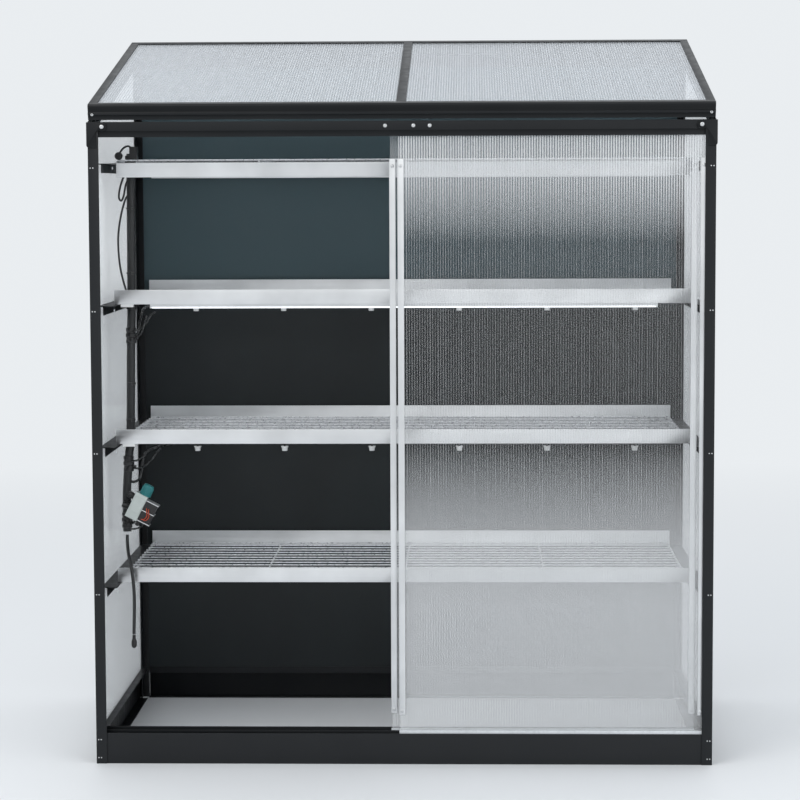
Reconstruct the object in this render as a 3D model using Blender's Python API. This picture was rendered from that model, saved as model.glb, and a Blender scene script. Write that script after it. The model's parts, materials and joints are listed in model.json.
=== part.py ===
"""Tall cold frame: aluminium frame, twin-wall panels, sliding doors, hinged lid and four shelves.

Metres, +Z up, origin on the floor at the middle of the footprint. The doors face -Y.
"""
import math

import bmesh
import bpy
from mathutils import Vector

MM = 0.001

# Overall frame
WIDTH = 1312 * MM
DEPTH = 700 * MM
FRONT_HEIGHT = 1364 * MM
ROOF_SLOPE = 0.2435
HALF_W = WIDTH / 2
HALF_D = DEPTH / 2
ROOF_ANGLE = math.atan(ROOF_SLOPE)

GAP = 0.3 * MM
WALL = 2 * MM
LIP = 1.5 * MM
PANEL = 4 * MM

# Corner posts
POST_FACE = 22.5 * MM
POST_SIDE = 36 * MM
SIDE_CHANNEL = 6 * MM
BACK_CHANNEL = 5.5 * MM
REAR_LIP_FACE = 23.4 * MM

# Base rails
BASE_HEIGHT = 66 * MM
SIDE_BASE_HEIGHT = 74 * MM
BASE_FOOT = 22 * MM
TRACK_LEDGE_Z = 53.7 * MM
GLAZING_LEDGE_Z = 58 * MM

# Door tracks
HEADER_HEIGHT = 32 * MM
TRACK_DEPTH = 33 * MM
DOOR_PITCH_Y = 17 * MM
FIN = 1.5 * MM
HEADER_FIN = 20 * MM
TRACK_FIN = 12 * MM
TRACK_REAR_FIN = 16 * MM
HEADER_STEP = 19 * MM

# Top rails and sheets
TOP_RAIL_DROP = 25 * MM
TOP_RAIL_WEB = 8 * MM
SHEET_INSET = 1 * MM
SHEET_BELOW_ROOF = 11 * MM

# Doors
DOOR_WIDTH = 646 * MM
DOOR_BOTTOM = 58.3 * MM
DOOR_TOP = 1356 * MM
FRONT_DOOR_X = 315 * MM
REAR_DOOR_X = 297.4 * MM
FRONT_DOOR_Y = -340 * MM
REAR_DOOR_Y = FRONT_DOOR_Y + DOOR_PITCH_Y
HANDLE_WIDTH = 13 * MM
HANDLE_BOTTOM = 106 * MM
HANDLE_TOP = 1285 * MM
EDGE_HEIGHT = 14 * MM
CLIP_WALL = 1.5 * MM
CLIP_SPACE = 5 * MM

# Shelves
RAIL_CENTRES = [1268 * MM, 967 * MM, 666 * MM, 365 * MM]
RAIL_HEIGHT = 20 * MM
RAIL_WEB_X = 632 * MM
RAIL_LEDGE_X = 612 * MM
SHELF_HALF = 620 * MM
SHELF_FRONT = -245 * MM
SHELF_REAR = 335 * MM
BAR_HEIGHT = 31 * MM
BAR_FLANGE = 25 * MM
BAR_WALL = 1.5 * MM
WIRE = 4 * MM
LONG_WIRES = 14
CROSS_WIRES = 5
WIRE_PITCH = 38 * MM
FIRST_WIRE = 43 * MM

# Lid, in its own plane: v runs from the hinge towards the front, w out of the lid
LID_HALF = 654 * MM
LID_DEPTH = 33 * MM
LID_FRONT_Y = -352.9 * MM
HINGE_Y = 352 * MM
LID_GAP = 4 * MM
LID_FRONT_LIP = 22 * MM
LID_REAR_LIP = 27 * MM
LID_REAR_WALL = 7 * MM
LID_SIDE_LIP = 18 * MM
LID_CAP = 10 * MM
LID_FOOT = 12 * MM
LID_RIDGE = 2.5 * MM
LID_SEAT = 24.2 * MM
LID_RIB = [(9 * MM, 0), (11 * MM, 1), (15 * MM, 1), (17 * MM, 0)]
LID_CHAMFER = 3.5 * MM
LID_STEM = 8 * MM
PANE_BASE = 26.6 * MM
BEAD = 3 * MM
SOCKET_GAP = 0.5 * MM
SOCKET_WALL = 1.8 * MM
HINGE_Z = FRONT_HEIGHT + LID_GAP + ROOF_SLOPE * (HINGE_Y + HALF_D)
LID_LENGTH = (HINGE_Y - LID_FRONT_Y) / math.cos(ROOF_ANGLE)

# Corner brackets
BRACKET_WIDTH = 20 * MM
BRACKET_TOP = 1363.5 * MM
BRACKET_BOTTOM = 1310 * MM
BRACKET_WALL = 2 * MM
BRACKET_ROUND = 6 * MM
EAR_X = 626 * MM
EAR_RADIUS = 9.5 * MM
EAR_NECK_Z = 1342 * MM

# Watering: the riser leans a little, as a list of (x, z) down its length
RISER_Y = -183 * MM
RISER_RADIUS = 9.5 * MM
RISER_ROUTE = [(-589, 1300), (-591, 984), (-593, 905), (-597, 690), (-601, 645), (-607, 560), (-607, 478)]
COUPLING_RADIUS = 12 * MM
COUPLING_HEIGHT = 34 * MM
COUPLINGS = [(-591, 964), (-593, 890), (-602, 610)]
HOSE_RADIUS = 2.2 * MM
HEAD_BLOCK = [(-590, -574), (-196, -172), (1288, 1315)]
KNOB = (-613, -196, 1295)
KNOB_RADIUS = 8.5 * MM
KNOB_THICKNESS = 8 * MM
KNOB_CABLE = [(-584, -184, 1308), (-592, -186, 1316), (-602, -191, 1313), (-610, -195, 1303),
              (-613, -196, 1296)]
SHORT_LOOP = [(-592, -188, 1262), (-603, -194, 1250), (-611, -199, 1225), (-613, -200, 1206),
              (-608, -199, 1199), (-603, -197, 1210), (-599, -194, 1232), (-594, -188, 1246)]
LONG_LOOP = [(-592, -188, 1214), (-601, -192, 1200), (-611, -197, 1160), (-616, -200, 1114),
             (-613, -199, 1060), (-604, -194, 1015), (-596, -188, 990)]

# The hose that hangs from the riser's foot, and the dripper on its end
FEED_RADIUS = 3.5 * MM
FEED_ROUTE = [(-607, -183, 470), (-607, -186, 457), (-605, -195, 446), (-602, -210, 437), (-598, -228, 430),
              (-593, -245, 420), (-588, -257, 402), (-585, -261, 380), (-583, -261, 352), (-583, -260, 322),
              (-584, -259, 293), (-585, -258, 264)]
FEED_STEPS = 4
DRIPPER_RADIUS = 6 * MM
DRIPPER_LENGTH = 30 * MM

# Mist lines under two of the shelves
MIST_Y = 45 * MM
MIST_BELOW_SHELF = {2: 12 * MM, 3: 29 * MM}
MIST_RADIUS = 3 * MM
MIST_START_DROP = 48 * MM
MIST_BEND = [(-576, -184, 0), (-574, -176, 14), (-573, -158, 34), (-571, -128, 46), (-566, -88, 48),
             (-560, -46, 48), (-553, -4, 48), (-540, 30, 48), (-522, 43, 48), (-505, 45, 48)]
NOZZLE_FIRST = -476 * MM
NOZZLE_PITCH = 198.4 * MM
NOZZLES = 6
NOZZLE_RADIUS = 8.5 * MM
NOZZLE_DROP = 17 * MM
MIST_TAIL = 60 * MM

# Drip valve, leaning to the right
VALVE_PLACE = (-571, -212, 540)
VALVE_LEAN = 27
VALVE_BODY = [(-22, 6), (-12, 12), (-36, 28)]
VALVE_BATTERY = [(5, 35), (-14, 14), (-33, 17)]
VALVE_CAP = (-3, 24, 47, 14)
VALVE_SPOUT = (10, -46, -30, 5)
VALVE_INLET = (-26, -6, 0, 7)

# Light
LIGHT_LEFT = -545 * MM
LIGHT_RIGHT = 545 * MM
LIGHT_WIDTH = 12 * MM
LIGHT_HEIGHT = 9 * MM

BLACK = (0.018, 0.019, 0.021, 1.0)
SILVER = (0.78, 0.79, 0.80, 1.0)
CLEAR = (0.80, 0.84, 0.87, 1.0)
MILK = (0.86, 0.87, 0.88, 1.0)
CHARCOAL = (0.030, 0.042, 0.048, 1.0)
RUBBER = (0.015, 0.015, 0.016, 1.0)
WHITE = (0.85, 0.86, 0.86, 1.0)
TEAL = (0.02, 0.22, 0.24, 1.0)


def material(name, color, metallic, roughness):
    """A plain Principled material for one sub-part."""
    mat = bpy.data.materials.new(name)
    mat.use_nodes = True
    shader = mat.node_tree.nodes["Principled BSDF"]
    shader.inputs["Base Color"].default_value = color
    shader.inputs["Metallic"].default_value = metallic
    shader.inputs["Roughness"].default_value = roughness
    return mat


def node(name, bm, finish, parent=None):
    """Turn a bmesh into a named object with its own material."""
    bmesh.ops.recalc_face_normals(bm, faces=bm.faces)
    mesh = bpy.data.meshes.new(name)
    bm.to_mesh(mesh)
    bm.free()
    mesh.materials.append(material(name, *finish))
    item = bpy.data.objects.new(name, mesh)
    bpy.context.collection.objects.link(item)
    item.parent = parent
    return item


def pivot(name, location, rotation=(0, 0, 0)):
    """An empty that carries the pieces moving together."""
    item = bpy.data.objects.new(name, None)
    item.location = location
    item.rotation_euler = rotation
    bpy.context.collection.objects.link(item)
    return item


def prism(outline, start, end, place):
    """Extrude a flat outline from start to end; place turns (a, b, distance) into a point."""
    bm = bmesh.new()
    near = [bm.verts.new(place(a, b, start)) for a, b in outline]
    far = [bm.verts.new(place(a, b, end)) for a, b in outline]
    bm.faces.new(near)
    bm.faces.new(list(reversed(far)))
    count = len(outline)
    for i in range(count):
        j = (i + 1) % count
        bm.faces.new([near[i], far[i], far[j], near[j]])
    return bm


def along_x(a, b, distance):
    return (distance, a, b)


def along_y(a, b, distance):
    return (a, distance, b)


def along_z(a, b, distance):
    return (a, b, distance)


def box(x0, x1, y0, y1, z0, z1):
    """A rectangular block between two corners."""
    return prism([(x0, y0), (x1, y0), (x1, y1), (x0, y1)], z0, z1, along_z)


def mirrored(outline, side):
    """The outline for the left (-1) or right (+1) hand, drawn for the right hand."""
    return [(side * a, b) for a, b in outline]


def arc(centre_a, centre_b, radius, start, end, steps):
    """Points along an arc, angles in degrees."""
    points = []
    for i in range(steps + 1):
        angle = math.radians(start + (end - start) * i / steps)
        points.append((centre_a + radius * math.cos(angle), centre_b + radius * math.sin(angle)))
    return points


def roof(y):
    """Height of the top of the fixed frame at depth y."""
    return FRONT_HEIGHT + ROOF_SLOPE * (y + HALF_D)


def joined(name, bodies, finish, parent=None):
    """One solid from several overlapping ones."""
    base = node(name, bodies[0], finish, parent)
    for index, body in enumerate(bodies[1:]):
        tool = node(f"{name}_tool_{index}", body, finish)
        union = base.modifiers.new("join", "BOOLEAN")
        union.operation = "UNION"
        union.solver = "EXACT"
        union.object = tool
        depsgraph = bpy.context.evaluated_depsgraph_get()
        merged = bpy.data.meshes.new_from_object(base.evaluated_get(depsgraph))
        base.modifiers.clear()
        base.data = merged
        bpy.data.objects.remove(tool)
    while len(base.data.materials) > 1:
        base.data.materials.pop()
    return base


def smooth(points, steps):
    """Points on a smooth curve through a route's points."""
    route = [Vector(p) for p in points]
    ends = [route[0] * 2 - route[1]] + route + [route[-1] * 2 - route[-2]]
    curve = []
    for k in range(1, len(ends) - 2):
        a, b, c, d = ends[k - 1:k + 3]
        for i in range(steps):
            t = i / steps
            curve.append(0.5 * (2 * b + (c - a) * t + (2 * a - 5 * b + 4 * c - d) * t * t
                                + (3 * b - 3 * c + d - a) * t ** 3))
    return curve + [route[-1]]


def in_metres(points):
    """A route given in millimetres, in metres."""
    return [Vector(p) * MM for p in points]


def tube(points, radius, sides):
    """A round rod swept through points without twist, closed at both ends."""
    bm = bmesh.new()
    rings = []
    across = None
    for index, point in enumerate(points):
        before = points[max(index - 1, 0)]
        after = points[min(index + 1, len(points) - 1)]
        along = (after - before).normalized()
        if across is None:
            across = along.orthogonal()
        across = (across - along * across.dot(along)).normalized()
        up = along.cross(across)
        ring = []
        for i in range(sides):
            turn = 2 * math.pi * i / sides
            outwards = across * math.cos(turn) + up * math.sin(turn)
            ring.append(bm.verts.new(point + outwards * radius))
        rings.append(ring)
    bm.faces.new(rings[0])
    bm.faces.new(list(reversed(rings[-1])))
    for near, far in zip(rings[:-1], rings[1:]):
        for i in range(sides):
            j = (i + 1) % sides
            bm.faces.new([near[i], far[i], far[j], near[j]])
    return bm


def drum(x, y, z0, z1, radius, sides):
    """An upright cylinder."""
    return prism(arc(x, y, radius, 0, 360 * (sides - 1) / sides, sides - 1), z0, z1, along_z)


def slope_top(item, first_z):
    """Cut the top of an upright piece to the roof slope by raising its upper points."""
    for vertex in item.data.vertices:
        if vertex.co.z > first_z:
            vertex.co.z = roof(vertex.co.y)


def build_posts(black):
    lip_a = HALF_W - WALL - SIDE_CHANNEL
    face_x = HALF_W - POST_FACE
    front = [
        (HALF_W, -HALF_D), (HALF_W, -HALF_D + POST_SIDE),
        (HALF_W - WALL, -HALF_D + POST_SIDE), (HALF_W - WALL, -HALF_D + WALL),
        (lip_a, -HALF_D + WALL), (lip_a, -HALF_D + POST_SIDE),
        (lip_a - LIP, -HALF_D + POST_SIDE), (lip_a - LIP, -HALF_D + WALL),
        (face_x, -HALF_D + WALL), (face_x, -HALF_D),
    ]
    lip_b = HALF_D - WALL - BACK_CHANNEL
    rear_x = HALF_W - REAR_LIP_FACE
    rear = [
        (HALF_W, HALF_D), (HALF_W, HALF_D - POST_SIDE),
        (HALF_W - WALL, HALF_D - POST_SIDE), (HALF_W - WALL, lip_b - LIP),
        (lip_a, lip_b - LIP), (lip_a, HALF_D - POST_SIDE),
        (lip_a - LIP, HALF_D - POST_SIDE), (lip_a - LIP, lip_b - LIP),
        (rear_x, lip_b - LIP), (rear_x, lip_b),
        (lip_a - LIP, lip_b), (lip_a - LIP, HALF_D - WALL),
        (rear_x, HALF_D - WALL), (rear_x, HALF_D),
    ]
    for hand, side in (("left", -1), ("right", 1)):
        for place, outline in (("front", front), ("rear", rear)):
            body = prism(mirrored(outline, side), 0, FRONT_HEIGHT, along_z)
            slope_top(node(f"post_{place}_{hand}", body, black), HALF_D)


def build_base(black):
    inner = HALF_W - WALL - SIDE_CHANNEL - LIP - GAP
    face = -HALF_D + WALL + GAP
    ledge = face + TRACK_DEPTH + WALL
    front = [
        (face, 0), (face, BASE_HEIGHT), (face + WALL, BASE_HEIGHT),
        (face + WALL, TRACK_LEDGE_Z + WALL), (ledge, TRACK_LEDGE_Z + WALL),
        (ledge, TRACK_LEDGE_Z), (face + WALL, TRACK_LEDGE_Z),
        (face + WALL, WALL), (face + BASE_FOOT, WALL), (face + BASE_FOOT, 0),
    ]
    node("base_front", prism(front, -inner, inner, along_x), black)

    lip_b = HALF_D - WALL - BACK_CHANNEL
    rear_inner = HALF_W - REAR_LIP_FACE - GAP
    rear = [
        (HALF_D, 0), (HALF_D, SIDE_BASE_HEIGHT), (HALF_D - WALL, SIDE_BASE_HEIGHT),
        (HALF_D - WALL, GLAZING_LEDGE_Z + WALL), (lip_b, GLAZING_LEDGE_Z + WALL),
        (lip_b, SIDE_BASE_HEIGHT), (lip_b - LIP, SIDE_BASE_HEIGHT),
        (lip_b - LIP, GLAZING_LEDGE_Z), (HALF_D - WALL, GLAZING_LEDGE_Z),
        (HALF_D - WALL, WALL), (HALF_D - BASE_FOOT, WALL), (HALF_D - BASE_FOOT, 0),
    ]
    node("base_rear", prism(rear, -rear_inner, rear_inner, along_x), black)

    lip_a = HALF_W - WALL - SIDE_CHANNEL
    side_rail = [
        (HALF_W, 0), (HALF_W, SIDE_BASE_HEIGHT), (HALF_W - WALL, SIDE_BASE_HEIGHT),
        (HALF_W - WALL, GLAZING_LEDGE_Z + WALL), (lip_a, GLAZING_LEDGE_Z + WALL),
        (lip_a, SIDE_BASE_HEIGHT), (RAIL_WEB_X, SIDE_BASE_HEIGHT),
        (RAIL_WEB_X, SIDE_BASE_HEIGHT - WALL), (lip_a - LIP, SIDE_BASE_HEIGHT - WALL),
        (lip_a - LIP, GLAZING_LEDGE_Z), (HALF_W - WALL, GLAZING_LEDGE_Z),
        (HALF_W - WALL, WALL), (HALF_W - BASE_FOOT, WALL), (HALF_W - BASE_FOOT, 0),
    ]
    reach = HALF_D - POST_SIDE - GAP
    for hand, side in (("left", -1), ("right", 1)):
        body = prism(mirrored(side_rail, side), -reach, reach, along_y)
        node(f"base_{hand}", body, black)


def build_tracks(black):
    inner = HALF_W - WALL - SIDE_CHANNEL - LIP - GAP
    face = -HALF_D + WALL + GAP
    top = FRONT_HEIGHT
    bottom = top - HEADER_HEIGHT
    divider = (FRONT_DOOR_Y + REAR_DOOR_Y) / 2 - FIN / 2
    rear = face + TRACK_DEPTH
    header = [
        (face, top), (face, top - HEADER_STEP), (face + LIP, top - HEADER_STEP - LIP),
        (face + LIP, bottom), (face + LIP + FIN, bottom), (face + LIP + FIN, top - WALL),
        (divider, top - WALL), (divider, top - HEADER_FIN), (divider + FIN, top - HEADER_FIN),
        (divider + FIN, top - WALL), (rear - FIN, top - WALL), (rear - FIN, top - HEADER_FIN),
        (rear, top - HEADER_FIN), (rear, top),
    ]
    node("door_track_top", prism(header, -inner, inner, along_x), black)

    base = TRACK_LEDGE_Z + WALL + GAP
    floor = base + WALL
    front = face + WALL + GAP
    track = [
        (front, base), (front, floor), (divider, floor), (divider, floor + TRACK_FIN),
        (divider + FIN, floor + TRACK_FIN), (divider + FIN, floor), (rear - FIN, floor),
        (rear - FIN, floor + TRACK_REAR_FIN), (rear, floor + TRACK_REAR_FIN), (rear, base),
    ]
    node("door_track_bottom", prism(track, -inner, inner, along_x), black)


def build_top_rails(black):
    lip_a = HALF_W - WALL - SIDE_CHANNEL
    drop = TOP_RAIL_DROP
    web = TOP_RAIL_WEB
    side_rail = [
        (HALF_W, 0), (HALF_W, -drop), (HALF_W - WALL, -drop), (HALF_W - WALL, -web - WALL),
        (lip_a, -web - WALL), (lip_a, -drop), (lip_a - LIP, -drop), (lip_a - LIP, -web),
        (HALF_W - WALL, -web), (HALF_W - WALL, 0),
    ]
    reach = HALF_D - POST_SIDE - GAP

    def sloped(a, b, distance):
        return (a, distance, roof(distance) + b)

    for hand, side in (("left", -1), ("right", 1)):
        body = prism(mirrored(side_rail, side), -reach, reach, sloped)
        node(f"top_rail_{hand}", body, black)

    lip_b = HALF_D - WALL - BACK_CHANNEL
    top = roof(lip_b) - GAP
    low = top - drop
    bore = BEAD + SOCKET_GAP
    shell = bore + SOCKET_WALL
    rear = arc(HINGE_Y, HINGE_Z, shell, 122, 228, 5) + [
        (HALF_D - WALL, top), (lip_b - LIP, top), (lip_b - LIP, low), (lip_b, low),
        (lip_b, top - WALL), (HALF_D - WALL, top - WALL), (HALF_D - WALL, low),
        (HALF_D, low), (HALF_D, top),
    ] + arc(HINGE_Y, HINGE_Z, shell, 262, 370, 5) + arc(HINGE_Y, HINGE_Z, bore, 370, 122, 12)
    inner = HALF_W - REAR_LIP_FACE - GAP
    node("top_rail_rear", prism(rear, -inner, inner, along_x), black)


def build_brackets(black):
    outside = HALF_W + GAP
    edge = outside + BRACKET_WALL
    ear_z = BRACKET_TOP - EAR_RADIUS
    front = -HALF_D - GAP
    face = [(edge, BRACKET_TOP)]
    face += arc(edge - BRACKET_ROUND, BRACKET_BOTTOM + BRACKET_ROUND, BRACKET_ROUND, 0, -90, 4)
    face += [(edge - BRACKET_WIDTH, BRACKET_BOTTOM), (edge - BRACKET_WIDTH, EAR_NECK_Z)]
    face += arc(EAR_X, ear_z, EAR_RADIUS, -50, -270, 12)
    cheek = [
        (front - BRACKET_WALL / 2, BRACKET_TOP), (front - BRACKET_WALL / 2, BRACKET_BOTTOM + BRACKET_ROUND),
        (-HALF_D + POST_SIDE, BRACKET_BOTTOM + BRACKET_ROUND), (-HALF_D + POST_SIDE, BRACKET_TOP),
    ]
    for hand, side in (("left", -1), ("right", 1)):
        plate = prism(mirrored(face, side), front - BRACKET_WALL, front, along_y)
        wing = prism(cheek, side * outside, side * edge, along_x)
        joined(f"corner_bracket_{hand}", [plate, wing], black)


def build_panels(clear, charcoal):
    x1 = HALF_W - WALL - SHEET_INSET
    x0 = x1 - PANEL
    z0 = GLAZING_LEDGE_Z + WALL + GAP
    front = -HALF_D + WALL + GAP
    lip_b = HALF_D - WALL - BACK_CHANNEL
    rear = lip_b - LIP - GAP
    outline = [(front, z0), (rear, z0), (rear, roof(rear) - SHEET_BELOW_ROOF),
               (front, roof(front) - SHEET_BELOW_ROOF)]
    for hand, side in (("left", -1), ("right", 1)):
        body = prism(outline, side * x0, side * x1, along_x)
        node(f"side_panel_{hand}", body, clear)
    edge = HALF_W - WALL - SIDE_CHANNEL - LIP - GAP
    y0 = lip_b + (BACK_CHANNEL - PANEL) / 2
    top = roof(lip_b) - WALL - 2 * GAP
    node("back_panel", box(-edge, edge, y0, y0 + PANEL, z0, top), charcoal)


def plate_grid(columns, rows, z0, z1):
    """A flat lattice: columns and rows are (edge, solid) steps, a cell is solid if either is."""
    bm = bmesh.new()
    corners = {}

    def corner(i, j, z):
        key = (i, j, z)
        if key not in corners:
            corners[key] = bm.verts.new((columns[i][0], rows[j][0], z))
        return corners[key]

    def solid(i, j):
        if not (0 <= i < len(columns) - 1 and 0 <= j < len(rows) - 1):
            return False
        return columns[i][1] or rows[j][1]

    for i in range(len(columns) - 1):
        for j in range(len(rows) - 1):
            if not solid(i, j):
                continue
            ring = [(i, j), (i + 1, j), (i + 1, j + 1), (i, j + 1)]
            bm.faces.new([corner(a, b, z1) for a, b in ring])
            bm.faces.new([corner(a, b, z0) for a, b in reversed(ring)])
            beside = [(i, j - 1), (i + 1, j), (i, j + 1), (i - 1, j)]
            for side in range(4):
                if solid(*beside[side]):
                    continue
                a = ring[side]
                b = ring[(side + 1) % 4]
                bm.faces.new([corner(*a, z0), corner(*b, z0), corner(*b, z1), corner(*a, z1)])
    return bm


def build_shelves(black, silver, steel):
    ledge_back = HALF_W - WALL - SIDE_CHANNEL - LIP - GAP
    columns = []
    reach = RAIL_LEDGE_X
    for k in range(CROSS_WIRES):
        x = -reach + 2 * reach * k / (CROSS_WIRES - 1)
        columns += [(x - WIRE / 2, True), (x + WIRE / 2, False)]
    rows = [(SHELF_FRONT + BAR_WALL + GAP, False)]
    for k in range(LONG_WIRES):
        y = SHELF_FRONT + FIRST_WIRE + WIRE_PITCH * k
        rows += [(y - WIRE / 2, True), (y + WIRE / 2, False)]
    rows.append((SHELF_REAR - BAR_WALL - GAP, False))
    long_reach = HALF_D - POST_SIDE - GAP

    for number, centre in enumerate(RAIL_CENTRES, start=1):
        top = centre + RAIL_HEIGHT / 2
        rail = [
            (ledge_back, top), (ledge_back, top - WALL), (RAIL_WEB_X + WALL, top - WALL),
            (RAIL_WEB_X + WALL, top - RAIL_HEIGHT), (RAIL_WEB_X, top - RAIL_HEIGHT),
            (RAIL_WEB_X, top - WALL), (RAIL_LEDGE_X, top - WALL), (RAIL_LEDGE_X, top),
        ]
        for hand, side in (("left", -1), ("right", 1)):
            body = prism(mirrored(rail, side), -long_reach, long_reach, along_y)
            node(f"shelf_rail_{hand}_{number}", body, black)

        base = top + GAP
        upturned = number > 1
        for place, edge, inward in (("front", SHELF_FRONT, 1), ("rear", SHELF_REAR, -1)):
            flange = [
                (edge, base), (edge + inward * BAR_FLANGE, base),
                (edge + inward * BAR_FLANGE, base + BAR_WALL), (edge, base + BAR_WALL),
            ]
            if upturned:
                leg_low = base
                leg_high = base + BAR_HEIGHT
                leg_half = SHELF_HALF
            else:
                leg_low = base + BAR_WALL - BAR_HEIGHT
                leg_high = base + BAR_WALL
                leg_half = RAIL_LEDGE_X - GAP
            leg = [
                (edge, leg_low), (edge + inward * BAR_WALL, leg_low),
                (edge + inward * BAR_WALL, leg_high), (edge, leg_high),
            ]
            pieces = [prism(flange, -SHELF_HALF, SHELF_HALF, along_x),
                      prism(leg, -leg_half, leg_half, along_x)]
            joined(f"shelf_bar_{place}_{number}", pieces, silver)
        deck = base + BAR_WALL + GAP
        node(f"shelf_grid_{number}", plate_grid(columns, rows, deck, deck + WIRE), steel)


def build_lid(black, clear):
    hinge = pivot("lid_hinge", (0, HINGE_Y, HINGE_Z), (ROOF_ANGLE, 0, 0))
    top = LID_DEPTH
    under_top = top - WALL
    seat = LID_SEAT
    seat_top = seat + WALL

    def in_lid_x(v, w, distance):
        return (distance, -v, w)

    def in_lid_v(x, w, distance):
        return (x, -distance, w)

    wall = LID_RIDGE
    inner = wall + WALL
    lip = LID_FRONT_LIP
    front = [(wall, 0)] + [(wall * (1 - raised), w) for w, raised in LID_RIB] + [
        (wall, top - LID_CHAMFER), (wall + LID_CHAMFER, top), (lip, top), (lip, under_top),
        (inner, under_top), (inner, seat_top), (lip, seat_top), (lip, seat), (inner, seat),
        (inner, WALL), (inner + LID_FOOT, WALL), (inner + LID_FOOT, 0),
    ]
    front = [(LID_LENGTH - a, w) for a, w in front]
    node("lid_rail_front", prism(front, -LID_HALF, LID_HALF, in_lid_x), black, hinge)

    outer = LID_REAR_WALL
    inner = outer + WALL
    lip = LID_REAR_LIP
    half = BEAD * math.cos(math.radians(70))
    rear = arc(0, 0, BEAD, 110, 430, 14) + [
        (half, outer), (outer, outer), (outer, 0), (inner + LID_FOOT, 0),
        (inner + LID_FOOT, WALL), (inner, WALL), (inner, seat), (lip, seat), (lip, seat_top),
        (inner, seat_top), (inner, under_top), (lip, under_top), (lip, top), (outer, top),
        (outer, outer + WALL), (-half, outer + WALL),
    ]
    node("lid_rail_rear", prism(rear, -LID_HALF, LID_HALF, in_lid_x), black, hinge)

    start = LID_REAR_LIP + GAP
    end = LID_LENGTH - LID_FRONT_LIP - GAP
    lip = LID_HALF - LID_SIDE_LIP
    wall = LID_HALF - WALL
    side_rail = [
        (LID_HALF, 0), (LID_HALF, top), (lip, top), (lip, under_top), (wall, under_top),
        (wall, seat_top), (lip, seat_top), (lip, seat), (wall, seat), (wall, WALL),
        (wall - LID_FOOT, WALL), (wall - LID_FOOT, 0),
    ]
    for hand, side in (("left", -1), ("right", 1)):
        body = prism(mirrored(side_rail, side), start, end, in_lid_v)
        node(f"lid_rail_{hand}", body, black, hinge)

    web = LIP
    right = [
        (LID_CAP, top), (LID_CAP, under_top), (web, under_top), (web, seat_top),
        (LID_CAP, seat_top), (LID_CAP, seat), (web, seat), (web, LID_STEM),
    ]
    bar = right + [(-a, b) for a, b in reversed(right)]
    node("lid_bar_centre", prism(bar, start, end, in_lid_v), black, hinge)

    near = LID_REAR_WALL + WALL + GAP
    far = LID_LENGTH - LID_RIDGE - WALL - GAP
    for hand, side in (("left", -1), ("right", 1)):
        pane = box(side * (web + GAP), side * (wall - GAP), -far, -near, PANE_BASE, PANE_BASE + PANEL)
        node(f"lid_pane_{hand}", pane, clear, hinge)


def build_door(name, x, y, clear, silver, milk):
    slider = pivot(f"{name}_slide", (x, y, DOOR_BOTTOM))
    half = DOOR_WIDTH / 2
    outer = CLIP_SPACE / 2 + CLIP_WALL
    space = CLIP_SPACE / 2
    edge = half - CLIP_WALL - GAP
    sheet = box(-edge, edge, -PANEL / 2, PANEL / 2, CLIP_WALL + GAP, DOOR_TOP - DOOR_BOTTOM)
    node(f"{name}_panel", sheet, clear, slider)

    lip = half - HANDLE_WIDTH
    clip = [
        (half, -outer), (half, outer), (lip, outer), (lip, space),
        (half - CLIP_WALL, space), (half - CLIP_WALL, -space), (lip, -space), (lip, -outer),
    ]
    low = HANDLE_BOTTOM - DOOR_BOTTOM
    high = HANDLE_TOP - DOOR_BOTTOM
    for hand, side in (("left", -1), ("right", 1)):
        body = prism(mirrored(clip, side), low, high, along_z)
        node(f"{name}_handle_{hand}", body, silver, slider)

    edging = [
        (-outer, 0), (outer, 0), (outer, EDGE_HEIGHT), (space, EDGE_HEIGHT),
        (space, CLIP_WALL), (-space, CLIP_WALL), (-space, EDGE_HEIGHT), (-outer, EDGE_HEIGHT),
    ]
    node(f"{name}_bottom_edge", prism(edging, -half, half, along_x), milk, slider)


def solid_block(ranges):
    """A block from three (low, high) pairs in millimetres."""
    return box(*[end * MM for pair in ranges for end in pair])


def build_riser(rubber):
    route = smooth([Vector((x, RISER_Y / MM, z)) * MM for x, z in RISER_ROUTE], 2)
    pieces = [tube(route, RISER_RADIUS, 12), solid_block(HEAD_BLOCK)]
    for x, z in COUPLINGS:
        pieces.append(drum(x * MM, RISER_Y, z * MM, z * MM + COUPLING_HEIGHT, COUPLING_RADIUS, 12))
    for loop in (SHORT_LOOP, LONG_LOOP, KNOB_CABLE):
        pieces.append(tube(smooth(in_metres(loop), 2), HOSE_RADIUS, 8))
    x, y, z = [c * MM for c in KNOB]
    half = KNOB_THICKNESS / 2
    pieces.append(prism(arc(x, z, KNOB_RADIUS, 0, 330, 11), y - half, y + half, along_y))
    joined("water_riser", pieces, rubber)


def build_feed_hose(rubber):
    curve = bpy.data.curves.new("feed_hose", "CURVE")
    curve.dimensions = "3D"
    curve.bevel_depth = FEED_RADIUS
    curve.bevel_resolution = 2
    curve.use_fill_caps = True
    points = smooth(in_metres(FEED_ROUTE), FEED_STEPS)
    spline = curve.splines.new("POLY")
    spline.points.add(len(points) - 1)
    for place, point in zip(spline.points, points):
        place.co = (*point, 1.0)
    curve.materials.append(material("feed_hose", *rubber))
    bpy.context.collection.objects.link(bpy.data.objects.new("feed_hose", curve))

    end = points[-1]
    top = end.z - GAP - LIP / 2
    neck = drum(end.x, end.y, top - DRIPPER_LENGTH / 2, top, FEED_RADIUS, 12)
    bulb = drum(end.x, end.y, top - DRIPPER_LENGTH, top - DRIPPER_LENGTH / 3, DRIPPER_RADIUS, 12)
    joined("feed_dripper", [neck, bulb], rubber)


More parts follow.
